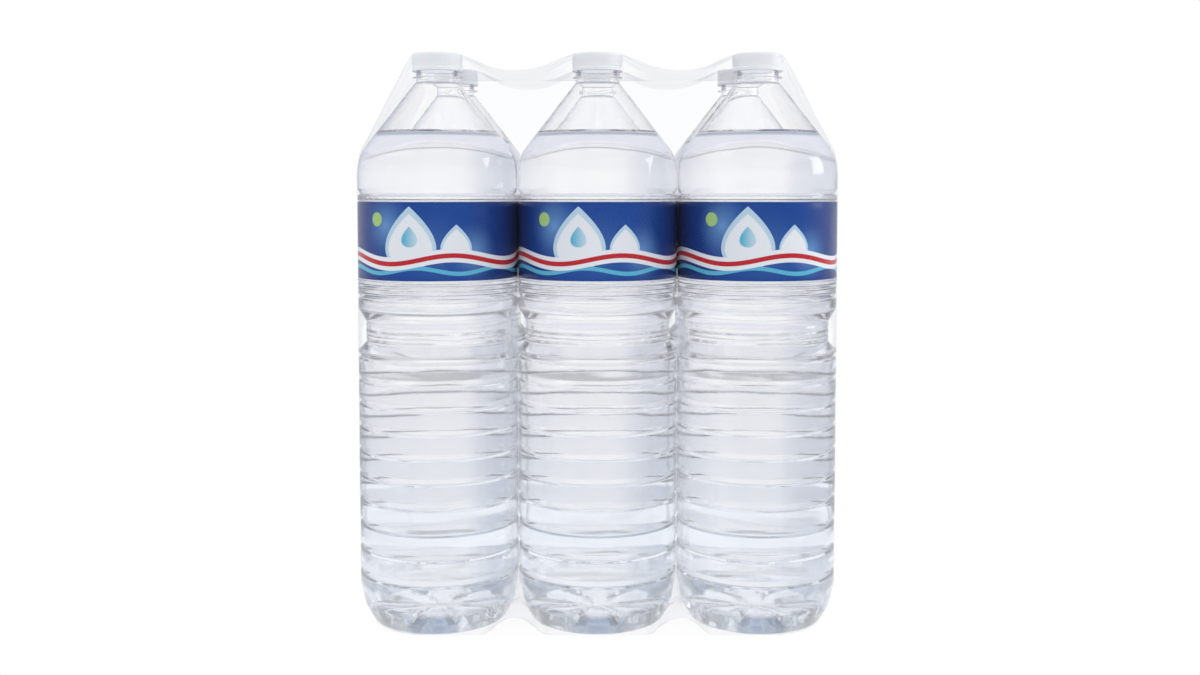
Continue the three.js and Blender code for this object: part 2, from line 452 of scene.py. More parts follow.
def plastic_material(settings):
    """Clear plastic with the faint ripples of a blown wall.

    It has painted shade: it is darker edge on at the shoulder and neck, in lines along the water line and
    the root of the neck, in a ring in the hollow base and low on the body. Its very faint glow, brighter
    at the foot, is painted light that stands for the light that long paths lose.
    """
    material, board = material_board("clear_plastic")
    place = board.add("TexCoord").out("Object")
    ripples = board.noise(board.add("Mapping", {}, {"Vector": place, "Scale": (1, 1, 3)}), 60, 0)
    height = board.add("SeparateXYZ", {}, {0: place}).out("Z")
    above_cone = ((height - settings.cone_top) / MM).clamped()
    above_ring = ((height - settings.collar_height - FOOT) / MM).clamped()
    # Painted shade: a mask by height for the dark outlines edge on, from the shoulder up, less on the
    # cone's top and more on the neck.
    thick = ((height - settings.shoulder_corner) / SHOULDER_FADE).clamped()
    thick = thick * (1 - above_cone * NECK_THINNING)
    # Painted shade: dark lines at the root of the neck and just under the water line.
    root = (1 - abs(height - settings.cone_top - FOOT) / ROOT_SHADE_HALF_HEIGHT).clamped() * LINE_SHADE
    below_level = WATER_LEVEL + FOOT - WATER_LINE_SHADE_HALF_HEIGHT
    level = (1 - abs(height - below_level) / WATER_LINE_SHADE_HALF_HEIGHT).clamped() * LINE_SHADE
    # Painted shade: the plastic turns towards the dark rim colour edge on, standing for the dark outlines
    # of the shoulder and neck.
    facing = board.add("LayerWeight", {}, {"Blend": 0.5}, output="Facing")
    edge_on = (facing + above_ring * NECK_LEAD - EDGE_START) / EDGE_WIDTH
    dark = edge_on.clamped() * (thick + above_ring * NECK_SHADE)
    dark = dark.math("MAXIMUM", root).math("MAXIMUM", level)
    blown = 1 - ((height - settings.shoulder_corner) / BLOWN_FADE).clamped()
    aside, away = from_axis(board, place)
    # Painted shade: a dark blue-grey ring in the hollow base, at the front and back of each bottle,
    # stands for the shade under it.
    seam = (1 + (SEAM_HALF_WIDTH - abs(aside)) / SEAM_FADE).clamped()
    base = (1 + (BASE_SHADE_HALF_WIDTH - abs(away - BASE_SHADE_RADIUS)) / BASE_SHADE_FADE).clamped() * seam
    base = base * (1 - ((height - BASE_SHADE_HEIGHT) / BASE_SHADE_FADE).clamped())
    foot = 1 - ((height - FOOT_HEIGHT) / FOOT_FADE).clamped()
    # Painted shade: the plastic is tinted darker low on the body, most at 45 mm up.
    low = (1 - abs(height - LOW_SHADE_HEIGHT) / LOW_SHADE_FADE).clamped()
    side = board.blend(low, solid(settings.plastic), solid(settings.low_painted_shade))
    side = board.blend(base, side, solid(settings.base))
    board.shade(
        {
            "Base Color": board.blend(dark, side, solid(settings.rim)),
            "Roughness": blown * BLOWN_ROUGHNESS + CLEAR_ROUGHNESS,
            "IOR": 1.42,
            "Transmission Weight": 1,
            # Painted light: a faint glow, brighter at the foot, stands for the light that long paths
            # lose.
            "Emission Color": board.blend(foot, solid(BODY_GLOW), solid(FOOT_GLOW)),
            "Emission Strength": 0.052,
            "Normal": board.bump(ripples, RIPPLE_DEPTH),
        }
    )
    return material


def water_material(settings):
    """Clear still water."""
    material, board = material_board("still_water")
    board.shade(
        {"Base Color": solid(settings.water), "Roughness": 0, "IOR": 1.333, "Transmission Weight": 1}
    )
    return material


# The printed label. Its places are in millimetres from the middle of the front.
PRINT_EDGE = 0.15
DROP_SHAPE = 2.598
BIG_DROP = (-10, -14.5, 18.5, 29)
BIG_DROP_FIELD = (-10, -12.9, 14.6, 24.8)
INNER_DROP = (-10, -3.0, 8.0, 8.8)
SIDE_DROP = (15, -9.5, 9.0, 17)
SIDE_DROP_FIELD = (15, -8.6, 6.6, 14.6)
INNER_FADE = (-13, 6)
GLOWS = ((0.9, -24, 8, 17, 19), (0.9, 25, -6, 15, 17), (0.3, 0, -4, 32, 22))
BAND = (-9.6, 2.3, 2, 0.4)
BAND_HALF_WIDTH = 3.5
STRIPE_HALF_WIDTH = 1.25
LOW_WAVE = (-15.4, 1.5, 3, 2.4)
LOW_WAVE_HALF_WIDTH = 1.1
SPOT_PLACE = (-30.5, 11.5)
SPOT_RADIUS = 3.7
SIDE_START = 20
SIDE_END = 62


def label_material(settings):
    """A glossy printed sleeve: blue with soft glows, two pale drops, and a white wave with a red line."""
    material, board = material_board("printed_label")
    split = board.add("SeparateXYZ", {}, {0: board.add("UVMap", {"uv_map": "print"})})
    across, up = split.out("X"), split.out("Y")
    waves_per_millimetre = 2 / LABEL_RADIUS * MM

    def inside(distance):
        return (0.5 - distance / PRINT_EDGE).clamped()

    def reach(x, y, wide=1.0, tall=1.0):
        """Distance from a point, with each way stretched."""
        return (((across - x) / wide) ** 2 + ((up - y) / tall) ** 2).math("SQRT")

    def glow(x, y, wide, tall):
        return (1 - reach(x, y, wide, tall)).clamped() ** 1.6

    def drop(middle, low, tip, width):
        """The inside of a drop that stands on a height, with its tip at another."""
        down = ((tip - up) / (tip - low)).clamped()
        half = down * (1 - down).math("SQRT") * (width / 2 * DROP_SHAPE)
        return inside(abs(across - middle) - half + PRINT_EDGE / 2)

    def wave(height, size, count, shift):
        """Height above a wavy line that closes on itself round the label."""
        return up - ((across * (count * waves_per_millimetre) + shift).math("SINE") * size + height)

    side = ((abs(across) - SIDE_START) / (SIDE_END - SIDE_START)).clamped() ** 0.8
    ink = board.blend(side, solid(settings.deep), solid(settings.navy))
    glows = sum(glow(*place) * strength for strength, *place in GLOWS)
    ink = board.blend(glows.clamped(), ink, solid(settings.glow))
    ink = board.blend(inside(reach(*SPOT_PLACE) - SPOT_RADIUS), ink, solid(settings.green))

    ink = board.blend(drop(*SIDE_DROP), ink, solid(settings.pale))
    ink = board.blend(drop(*SIDE_DROP_FIELD), ink, solid(settings.white))
    ink = board.blend(drop(*BIG_DROP), ink, solid(settings.pale))
    ink = board.blend(drop(*BIG_DROP_FIELD), ink, solid(settings.white))
    shine = ((across - INNER_FADE[0]) / INNER_FADE[1]).clamped()
    inner = board.blend(shine, solid(settings.sky), solid(settings.pale))
    ink = board.blend(drop(*INNER_DROP), ink, inner)

    low_wave = wave(*LOW_WAVE)
    band = wave(*BAND)
    ink = board.blend(inside(abs(low_wave) - LOW_WAVE_HALF_WIDTH), ink, solid(settings.sky))
    ink = board.blend(inside(abs(band) - BAND_HALF_WIDTH), ink, solid(settings.white))
    ink = board.blend(inside(abs(band) - STRIPE_HALF_WIDTH), ink, solid(settings.red))

    place = board.add("TexCoord").out("Object")
    board.shade(
        {
            "Base Color": ink,
            "Roughness": 0.32,
            "Specular IOR Level": 0.14,
            "Coat Weight": 0.12,
            "Coat Roughness": 0.14,
            "Normal": board.bump(board.noise(place, 38, 3), 0.5 * MM),
        }
    )
    return material


def lit_inside(name, grain, dark, pale, glow, strength):
    """A clouded inner face with a painted glow that stands for daylight through its thin wall."""
    material, board = material_board(name)
    cloud = board.noise(board.add("TexCoord").out("Object"), *grain)
    board.shade(
        {
            "Base Color": board.blend(cloud, solid(dark), solid(pale)),
            "Roughness": 0.5,
            # Painted light: the glow stands for daylight that shines through the wall.
            "Emission Color": solid(glow),
            "Emission Strength": strength,
        }
    )
    return material


def backing_material():
    """The bare white back of the label, with a painted glow that stands for daylight from the far side
    shining through a little.
    """
    return lit_inside(
        "label_backing", (160, 2), (0.44, 0.45, 0.47), (0.50, 0.51, 0.53), (0.9, 0.92, 1), 0.72
    )


def cap_material(settings):
    """Milky satin plastic, a little paler in soft clouds, with a faint painted glow."""
    material, board = material_board("milky_plastic")
    place = board.add("TexCoord").out("Object")
    cloud = board.noise(place, 90, 3)
    board.shade(
        {
            "Base Color": board.blend(cloud, solid(settings.colour), solid(settings.thin_colour)),
            "Roughness": 0.34,
            "Subsurface Weight": 0.25,
            "Subsurface Scale": 0.004,
            # Painted light: a faint glow that makes the caps paler.
            "Emission Color": (0.93, 0.95, 1.0, 1),
            "Emission Strength": 0.11,
            "Normal": board.bump(board.noise(place, 900, 2), 0.03 * MM),
        }
    )
    return material


def cap_lining_material():
    """The inside of a cap, with a painted glow that stands for daylight through its milky wall."""
    return lit_inside(
        "cap_lining", (90, 3), (0.66, 0.67, 0.69), (0.72, 0.73, 0.75), (0.93, 0.95, 1), 0.55
    )


GLINT = 0.2
SMUDGE = 0.004
FOLD_HAZE = 0.6
GRIP_HAZE = 0.3
GAP_HALF_WIDTH = 6 * MM
GAP_FADE = 14 * MM
GRIP_HALF_HEIGHT = 16 * MM


def film_material(grip_height):
    """Clear shrink film: see-through face on, glossy at a glance, hazy where it bridges the gaps, and
    painted darker grey there as shade between the bottles.
    """
    material, board = material_board("shrink_film")
    place = board.add("TexCoord").out("Object")
    stretch = board.add("Mapping", {}, {"Vector": place, "Scale": (1.0, 1.0, 0.35)})
    normal = board.bump(board.noise(stretch, 80, 0), 0.4 * MM)
    facing = board.add("LayerWeight", {}, {"Blend": 0.5, "Normal": normal}, output="Facing")
    x = board.add("SeparateXYZ", {}, {0: place})
    from_gap = abs(abs(x) - COLUMN_STEP / 2)
    folds = board.noise(board.add("Mapping", {}, {"Vector": place, "Scale": (3.0, 1.0, 1.0)}), 150, 0)
    height = x.out("Z")
    beside = (1 - from_gap / GAP_HALF_WIDTH).clamped()
    gathered = beside * (height / GAP_FADE - 1).clamped() * ((LABEL_LOW - height) / GAP_FADE).clamped()
    # Partly real folds and partly painted shade: the gaps get more grey film at the grip's height.
    grip = (1 - abs(height - grip_height) / GRIP_HALF_HEIGHT).clamped()
    hazy = gathered * (folds * FOLD_HAZE + grip * GRIP_HAZE)
    weight = (facing**4 * GLINT + SMUDGE + hazy).clamped()
    # Painted shade: the gathered film in the gaps takes a darker grey, standing for the shade between the
    # bottles.
    haze_and_shade = board.blend(gathered, (0.93, 0.935, 0.985, 1), (0.74, 0.77, 0.83, 1))
    gloss = board.add(
        "BsdfPrincipled", {}, {"Base Color": haze_and_shade, "Roughness": 0.07, "IOR": 1.5, "Normal": normal}
    )
    clear = board.add("BsdfTransparent", {}, {"Color": (0.995, 0.996, 1, 1)})
    film = board.add("MixShader", {}, {0: weight, 1: clear, 2: gloss})
    board.add("OutputMaterial", {}, {"Surface": film})
    return material


# The bottles
RING_PLACES = (-2.6, 0.9, 4.2)
RING_HALF_WIDTH = 1.3 * MM
RING_RISE = 0.22 * MM
FINE_LINES = 3
FINE_START = 3.5
FINE_PITCH = 2.4
FINE_DEPTH = 0.35 * MM
FINE_WIDTH = 1.8 * MM
LABEL_RECESS = 0.65 * MM
COLLAR_HALF_HEIGHT = 0.15 * MM
FOOT_HALF_WIDTH = 1.8 * MM
HEEL_RADIUS = 41.4 * MM
HEEL_FILLET = 14 * MM
SHOULDER_FILLET = 32 * MM
LONGEST_STEP = 5 * MM


def groove(radius, height, depth, width):
    """The corners of one groove, with a short lower slope and a long upper one."""
    floor = radius - depth
    return [
        (radius, height - width * 0.32, width * 0.12),
        (floor, height - width * 0.12, width * 0.1),
        (floor, height + width * 0.02, width * 0.1),
        (radius, height + width * 0.68, width * 0.3),
    ]


def ribs(s):
    """The corners of the grooves up the body, closer together towards the waist."""
    corners = []
    height = s.lowest_rib
    pitch = s.rib_pitch
    while height < s.waist_height - 2 * s.rib_width:
        corners += groove(BOTTLE_RADIUS, height, s.rib_depth, s.rib_width)
        height += pitch
        pitch -= s.rib_pitch_step
    return corners


def waist(s):
    """The corners of the narrow grip: two slopes, with three low rings between them."""
    floor = BOTTLE_RADIUS - s.waist_depth
    ring = floor + RING_RISE
    corners = [
        (BOTTLE_RADIUS, s.waist_height - s.waist_half, 3 * MM),
        (floor, s.waist_height - 5 * MM, 1.2 * MM),
    ]
    for place in RING_PLACES:
        middle = s.waist_height + place * MM
        corners += [
            (floor, middle - RING_HALF_WIDTH, 0.6 * MM),
            (ring, middle, 0.8 * MM),
            (floor, middle + RING_HALF_WIDTH, 0.6 * MM),
        ]
    corners += [
        (floor, s.waist_height + 6 * MM, 0.5 * MM),
        (BOTTLE_RADIUS, s.waist_height + s.waist_half + 3 * MM, 5 * MM),
    ]
    return corners


def label_seat(s):
    """The corners from the groove under the label to the one above it."""
    panel = LABEL_RADIUS - LABEL_RECESS
    corners = groove(BOTTLE_RADIUS, s.ring_height, s.rib_depth, 0.8 * s.rib_width)
    for line in range(FINE_LINES):
        height = s.ring_height + (FINE_START + FINE_PITCH * line) * MM
        corners += groove(BOTTLE_RADIUS, height, FINE_DEPTH, FINE_WIDTH)
    corners += [
        (BOTTLE_RADIUS, LABEL_LOW - 1.1 * MM, 0.3 * MM),
        (panel, LABEL_LOW - 0.5 * MM, 0.3 * MM),
        (panel, LABEL_HIGH + 0.5 * MM, 0.3 * MM),
        (BOTTLE_RADIUS, LABEL_HIGH + 1.1 * MM, 0.3 * MM),
    ]
    return corners + groove(BOTTLE_RADIUS, LABEL_HIGH + 4.6 * MM, s.rib_depth, 0.85 * s.rib_width)


def neck(s, ring):
    """The corners of the neck, with or without its thin ring."""
    corners = [(s.cone_radius, s.cone_top, 0.6 * MM), (s.neck_radius, s.cone_top + 0.4 * MM, 0.3 * MM)]
    if ring:
        corners += [
            (s.neck_radius, s.collar_height - 0.3 * MM, 0.15 * MM),
            (s.collar_radius, s.collar_height - COLLAR_HALF_HEIGHT, 0.1 * MM),
            (s.collar_radius, s.collar_height + COLLAR_HALF_HEIGHT, 0.1 * MM),
            (s.neck_radius, s.collar_height + 0.3 * MM, 0.15 * MM),
        ]
    return corners + [(s.neck_radius, NECK_TOP, 0)]


def bottle_outline(s, ring=True):
    """The outside of a bottle from the middle of its base up to its mouth."""
    foot = s.foot_radius
    corners = [
        (0, s.push_up, 0),
        (s.push_up_radius, s.push_up, 5 * MM),
        (foot - FOOT_HALF_WIDTH, 0, 2 * MM),
        (foot + FOOT_HALF_WIDTH, 0, 3 * MM),
        (HEEL_RADIUS, s.heel_height * 0.42, HEEL_FILLET),
        (BOTTLE_RADIUS, s.heel_height, HEEL_FILLET),
    ]
    corners += ribs(s) + waist(s) + label_seat(s)
    corners.append((BOTTLE_RADIUS, s.shoulder_corner, SHOULDER_FILLET))
    return stepped(rounded(corners + neck(s, ring)), LONGEST_STEP)


def wall_at(s, radius, height):
    """Thickness of the wall, thick at the neck and in the middle of the base."""
    neck_part = smoothstep(s.shoulder_corner, s.cone_top, height)
    base_part = (1 - smoothstep(6 * MM, 20 * MM, radius)) * (height < s.heel_height)
    return s.wall + (s.thick_wall - s.wall) * max(neck_part, base_part)


WEB_START = 9 * MM
WEB_END = 18 * MM
WANDER_RISE = 15 * MM
WANDER_FADE = 6 * MM
LONG_WAVES = 28
SHORT_WAVES = 90
SHORT_SHARE = 0.4


def shaped(bm, s):
    """Lowers the webs across the hollow under the base, and lets the thin wall wander a little."""
    wander_top = WATER_LEVEL + WANDER_RISE
    for vert in bm.verts:
        x, y, z = vert.co
        radius = math.hypot(x, y)
        if z < s.heel_height and radius < s.foot_radius:
            from_web = math.remainder(math.atan2(x, -y) - math.pi / 8, math.pi / 4)
            web = 1 - smoothstep(s.web_width * 0.1, s.web_width * 0.5, radius * abs(math.sin(from_web)))
            web *= smoothstep(WEB_START, WEB_END, radius)
            vert.co.z -= web * (s.push_up - s.web_height) * min(1, z / s.push_up)
        free = smoothstep(s.heel_height * 0.5, s.heel_height, z) - smoothstep(WATER_LEVEL, wander_top, z)
        seat = smoothstep(LABEL_LOW - WANDER_FADE, LABEL_LOW, z)
        seat -= smoothstep(LABEL_HIGH, LABEL_HIGH + WANDER_FADE, z)
        if radius > s.neck_radius:
            wander = noise.noise(vert.co * LONG_WAVES) + SHORT_SHARE * noise.noise(vert.co * SHORT_WAVES)
            push = s.waviness * wander * free * (1 - seat) / radius
            vert.co.x += x * push
            vert.co.y += y * push


class BOTTLEPACK_OT_bottles(bpy.types.Operator):
    """Blow the six clear bottles"""

    bl_idname = "bottlepack.bottles"
    bl_label = "Bottles"

    def execute(self, context):
        s = context.scene.pack_bottle
        plain = bottle_outline(s, ring=False)
        within = inset(plain, [wall_at(s, *p) for p in plain])
        bm = turned(bottle_outline(s) + within[::-1], s.segments)
        shaped(bm, s)
        stand_copies("bottle", mesh_from(bm, "bottle"), plastic_material(s), quarter_turns=True)
        return {"FINISHED"}


class BOTTLEPACK_OT_water(bpy.types.Operator):
    """Fill the six bottles with water, which reaches just into their walls"""

    bl_idname = "bottlepack.water"
    bl_label = "Water"

    def execute(self, context):
        s = context.scene.pack_bottle
        outside = bottle_outline(s)
        bite = 0.12 * MM
        climb = 0.7 * MM
        wet = inset(outside, [wall_at(s, *p) - bite for p in outside])
        below = [p for p in wet if p.y < WATER_LEVEL]
        last, following = below[-1], wet[len(below)]
        rise = (WATER_LEVEL + climb - last.y) / (following.y - last.y)
        edge = last.lerp(following, rise).x
        surface = [
            Vector((edge, WATER_LEVEL + climb)),
            Vector((edge - 0.5 * MM, WATER_LEVEL + climb * 0.5)),
            Vector((edge - 1.3 * MM, WATER_LEVEL + climb * 0.15)),
            Vector((edge - 2.6 * MM, WATER_LEVEL)),
            Vector((0, WATER_LEVEL)),
        ]
        bm = turned(below + surface, s.segments)
        shaped(bm, s)
        stand_copies("water", mesh_from(bm, "water"), water_material(s), quarter_turns=True)
        return {"FINISHED"}


def print_map(mesh):
    """Gives a label the map of its print: millimetres from the middle of the front, or of the back."""
    layer = mesh.uv_layers.new(name="print")
    middle = (LABEL_LOW + LABEL_HIGH) / 2
    for face in mesh.polygons:
        turn = 0 if face.center.y < 0 else math.pi
        for corner in face.loop_indices:
            x, y, z = mesh.vertices[mesh.loops[corner].vertex_index].co
            angle = math.remainder(math.atan2(x, -y) - turn, 2 * math.pi)
            layer.data[corner].uv = (angle * LABEL_RADIUS / MM, (z - middle) / MM)


class BOTTLEPACK_OT_labels(bpy.types.Operator):
    """Wrap a printed label round each bottle"""

    bl_idname = "bottlepack.labels"
    bl_label = "Labels"

    def execute(self, context):
        thickness = 0.3 * MM
        corner = 0.1 * MM
        inner = LABEL_RADIUS - thickness
        outline = stepped(
            [
                Vector((inner, LABEL_LOW)),
                Vector((LABEL_RADIUS - corner, LABEL_LOW)),
                Vector((LABEL_RADIUS, LABEL_LOW + corner)),
                Vector((LABEL_RADIUS, LABEL_HIGH - corner)),
                Vector((LABEL_RADIUS - corner, LABEL_HIGH)),
                Vector((inner, LABEL_HIGH)),
            ],
            4 * MM,
        )
        mesh = mesh_from(turned(outline, 96, closed=True), "label")
        print_map(mesh)
        for face in mesh.polygons:
            face.material_index = int(face.center.xy.length < inner + corner)
        stand_copies("label", mesh, label_material(context.scene.pack_label), backing_material())
        return {"FINISHED"}


class BOTTLEPACK_OT_caps(bpy.types.Operator):
    """Mould the six screw caps"""

    bl_idname = "bottlepack.caps"
    bl_label = "Caps"

    def execute(self, context):
        s = context.scene.pack_cap
        roof = 1.6 * MM
        bore = 12.1 * MM
        band = CAP_LOW + 2.3 * MM
        corners = [
            (0, CAP_TOP, 0),
            (CAP_RADIUS - 0.3 * MM, CAP_TOP, 0.8 * MM),
            (CAP_RADIUS - 0.1 * MM, CAP_TOP - 1.2 * MM, 0.3 * MM),
            (CAP_RADIUS - 0.1 * MM, band + 0.5 * MM, 0.2 * MM),
            (CAP_RADIUS - 0.5 * MM, band + 0.2 * MM, 0.1 * MM),
            (CAP_RADIUS - 0.5 * MM, band - 0.2 * MM, 0.1 * MM),
            (CAP_RADIUS, band - 0.5 * MM, 0.2 * MM),
            (CAP_RADIUS, CAP_LOW, 0.3 * MM),
            (bore, CAP_LOW, 0.3 * MM),
            (bore, CAP_TOP - roof, 0.6 * MM),
            (0, CAP_TOP - roof, 0),
        ]
        bm = turned(stepped(rounded(corners), 4 * MM), s.ridges * 2)
        for vert in bm.verts:
            x, y, z = vert.co
            radius = math.hypot(x, y)
            if radius > CAP_RADIUS - 0.45 * MM and z > band:
                low_end = smoothstep(band, band + 1.2 * MM, z)
                high_end = smoothstep(CAP_TOP - 1.8 * MM, CAP_TOP - 0.6 * MM, z)
                press = 0.5 + 0.5 * math.cos(s.ridges * math.atan2(x, y))
                factor = 1 - s.ridge_depth * press * (low_end - high_end) / radius
                vert.co.x *= factor
                vert.co.y *= factor
        mesh = mesh_from(bm, "cap")
        for face in mesh.polygons:
            within = face.center.xy.length < bore + 0.05 * MM and face.center.z < CAP_TOP - roof / 2
            face.material_index = int(within)
        stand_copies("cap", mesh, cap_material(s), cap_lining_material())
        return {"FINISHED"}


# The film. The skin is the space that a bottle and its cap fill, from the foot up.
SKIN = (
    (0, 36 * MM),
    (9 * MM, HEEL_RADIUS),
    (21.5 * MM, BOTTLE_RADIUS),
    (249 * MM, BOTTLE_RADIUS),
    (258.7 * MM, 42.2 * MM),
    (297 * MM, 13 * MM),
    (CAP_LOW, CAP_RADIUS),
    (CAP_TOP, CAP_RADIUS),
)
SKIN_HEIGHTS, SKIN_RADII = zip(*SKIN)
FREE_HEIGHT = 200 * MM
CORE_HEIGHTS = (30 * MM, 250 * MM)
BOX_SCALE = 1.3
SMOOTHED_REACH = 1.3


def skin_radius(height):
    """Radius of the space that a bottle and its cap fill, at a height above the foot."""
    return float(np.interp(height, SKIN_HEIGHTS, SKIN_RADII))


def nearest_axis(x, y):
    """The axis of the bottle nearest to a place."""
    column = min(1, max(-1, round(x / COLUMN_STEP)))
    return column * COLUMN_STEP, math.copysign(ROW_OFFSET, y)


def tight_hull(clearance):
    """A search tree of the tightest skin round the four corner bottles."""
    bm = bmesh.new()
    rings = [(SKIN_RADII[0], -FOOT), (CAP_RADIUS, CAP_TOP + clearance)]
    rings += list(zip(SKIN_RADII, SKIN_HEIGHTS))[1:5]
    for x in (-COLUMN_STEP, COLUMN_STEP):
        for y in (-ROW_OFFSET, ROW_OFFSET):
            for radius, height in rings:
                bmesh.ops.create_circle(
                    bm,
                    segments=72,
                    radius=radius + clearance,
                    matrix=Matrix.Translation((x, y, FOOT + height)),
                )
    bmesh.ops.convex_hull(bm, input=bm.verts)
    tree = BVHTree.FromBMesh(bm)
    bm.free()
    return tree


def trough_height(offset, s):
    """Height of the film between two caps, at an offset from the middle of the gap."""
    half = ROW_OFFSET - CAP_RADIUS
    if abs(offset) >= half:
        return math.inf
    radius = (half**2 + s.sag**2) / (2 * s.sag)
    return FILM_HIGH.z - s.sag + radius - math.sqrt(radius**2 - offset**2)


def arch_height(x, y, s):
    """Height of the film's lower edge where it draws up between the feet, clear of the heels."""
    offset = min(abs(abs(x) - COLUMN_STEP / 2), abs(y))
    arch = s.arch * (1 - (offset / s.arch_half_width) ** 2)
    axis_x, axis_y = nearest_axis(x, y)
    away = math.hypot(x - axis_x, y - axis_y)
    room = float(np.interp(away, SKIN_RADII[:3], (0, *SKIN_HEIGHTS[1:3])))
    return max(0, min(arch, room))


CAP_FOLDS = 11
CAP_FOLD_REACH = (22 * MM, 44 * MM)
EYE_FOLDS = 26
EYE_FOLD_REACH = 1.45


def eye_place(co, s):
    """A place seen from the middle of an end opening, with the opening's edge at a distance of one."""
    return Vector((co.y / s.eye_half_width, (co.z - s.eye_middle) / s.eye_half_height))


class BOTTLEPACK_OT_film(bpy.types.Operator):
    """Shrink the clear film round the pack"""

    bl_idname = "bottlepack.film"
    bl_label = "Film"

    def execute(self, context):
        s = context.scene.pack_film
        bm = self.wrapped(s)
        self.relax(bm, s)
        self.cut_openings(bm, s)
        self.crease(bm, s)
        mesh = mesh_from(bm, "film")
        mesh.materials.append(film_material(context.scene.pack_bottle.waist_height))
        piece = bpy.data.objects.new("clear_film", mesh)
        context.scene.collection.objects.link(piece)
        wall = piece.modifiers.new("Wall", "SOLIDIFY")
        wall.thickness = s.thickness
        wall.offset = -1
        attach(piece, "root")
        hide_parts("film")
        return {"FINISHED"}

    def wrapped(self, s):
        """A fine box shrunk onto the bottles, with its top let down between the caps."""
        hull = tight_hull(s.clearance)
        core_low = Vector((-COLUMN_STEP, -ROW_OFFSET, CORE_HEIGHTS[0]))
        core_high = Vector((COLUMN_STEP, ROW_OFFSET, CORE_HEIGHTS[1]))
        middle = (FILM_LOW + FILM_HIGH) / 2
        size = (FILM_HIGH - FILM_LOW) * BOX_SCALE
        bm = bmesh.new()
        bmesh.ops.create_cube(bm, size=1)
        bmesh.ops.subdivide_edges(bm, edges=bm.edges, cuts=s.cuts, use_grid_fill=True)
        for vert in bm.verts:
            outer = middle + Vector(a * b for a, b in zip(vert.co, size))
            inner = Vector(min(max(o, low), high) for o, low, high in zip(outer, core_low, core_high))
            x, y, z = hull.ray_cast(outer, inner - outer)[0]
            sag = min(trough_height(abs(x) - COLUMN_STEP / 2, s), trough_height(y, s))
            vert.co = (x, y, max(min(z, sag), arch_height(x, y, s)))
        return bm

    def relax(self, bm, s):
        """Draws the film tight without letting it into the bottles or the ground."""
        free = [v for v in bm.verts if v.co.z > FREE_HEIGHT]
        top = FOOT + CAP_TOP + s.clearance
        for _ in range(s.relax_steps):
            bmesh.ops.smooth_vert(
                bm, verts=free, factor=0.5, use_axis_x=True, use_axis_y=True, use_axis_z=True
            )
            for vert in free:
                axis_x, axis_y = nearest_axis(vert.co.x, vert.co.y)
                x, y = vert.co.x - axis_x, vert.co.y - axis_y
                radius = math.hypot(x, y)
                room = skin_radius(vert.co.z - FOOT) + s.clearance
                lift = top - vert.co.z
                if radius >= room or lift <= 0:
                    continue
                if radius < CAP_RADIUS and lift < room - radius + MM:
                    vert.co.z = top
                elif radius > MM:
                    vert.co.x = axis_x + x * room / radius
                    vert.co.y = axis_y + y * room / radius

    def cut_openings(self, bm, s):
        """Opens an ellipse at each end and gives it a turned-in rim."""
        end_x = COLUMN_STEP + BOTTLE_RADIUS - MM
        middles = {face: face.calc_center_median() for face in bm.faces}
        gone = [f for f, co in middles.items() if abs(co.x) > end_x and eye_place(co, s).length < 1]
        bmesh.ops.delete(bm, geom=gone, context="FACES")
        edges = [e for e in bm.edges if e.is_boundary]
        rim = {v for e in edges for v in e.verts}
        for vert in rim:
            spot = eye_place(vert.co, s).normalized()
            vert.co.y = spot.x * s.eye_half_width
            vert.co.z = s.eye_middle + spot.y * s.eye_half_height
        beside = [v for v in bm.verts if abs(v.co.x) > end_x and v not in rim]
        near = [v for v in beside if eye_place(v.co, s).length < SMOOTHED_REACH]
        for _ in range(6):
            bmesh.ops.smooth_vert(bm, verts=near, factor=0.5, use_axis_y=True, use_axis_z=True)
        made = bmesh.ops.extrude_edge_only(bm, edges=edges)["geom"]
        for vert in (g for g in made if isinstance(g, bmesh.types.BMVert)):
            vert.co.x -= math.copysign(s.rim, vert.co.x)
        bmesh.ops.recalc_face_normals(bm, faces=bm.faces)

    def crease(self, bm, s):
        """Raises fine folds that run out from the caps and from the openings."""
        bm.normal_update()
        moves = []
        for vert in bm.verts:
            x, y, z = vert.co
            lift = 0
            if z > FREE_HEIGHT:
                axis_x, axis_y = nearest_axis(x, y)
                away = math.hypot(x - axis_x, y - axis_y)
                fade = smoothstep(CAP_RADIUS, CAP_RADIUS + 6 * MM, away)
                fade -= smoothstep(*CAP_FOLD_REACH, away)
                turn = math.atan2(y - axis_y, x - axis_x)
                lift += max(0, fade) * math.sin(CAP_FOLDS * turn + 3 * noise.noise(vert.co * 40))
            if abs(x) > COLUMN_STEP + 30 * MM:
                spot = eye_place(vert.co, s)
                fade = 1 - smoothstep(1, EYE_FOLD_REACH, spot.length)
                turn = math.atan2(spot.y, spot.x)
                lift += fade * math.sin(EYE_FOLDS * turn + 2.5 * noise.noise(vert.co * 25))
            moves.append((vert, vert.normal * lift * s.crease))
        for vert, move in moves:
            vert.co += move


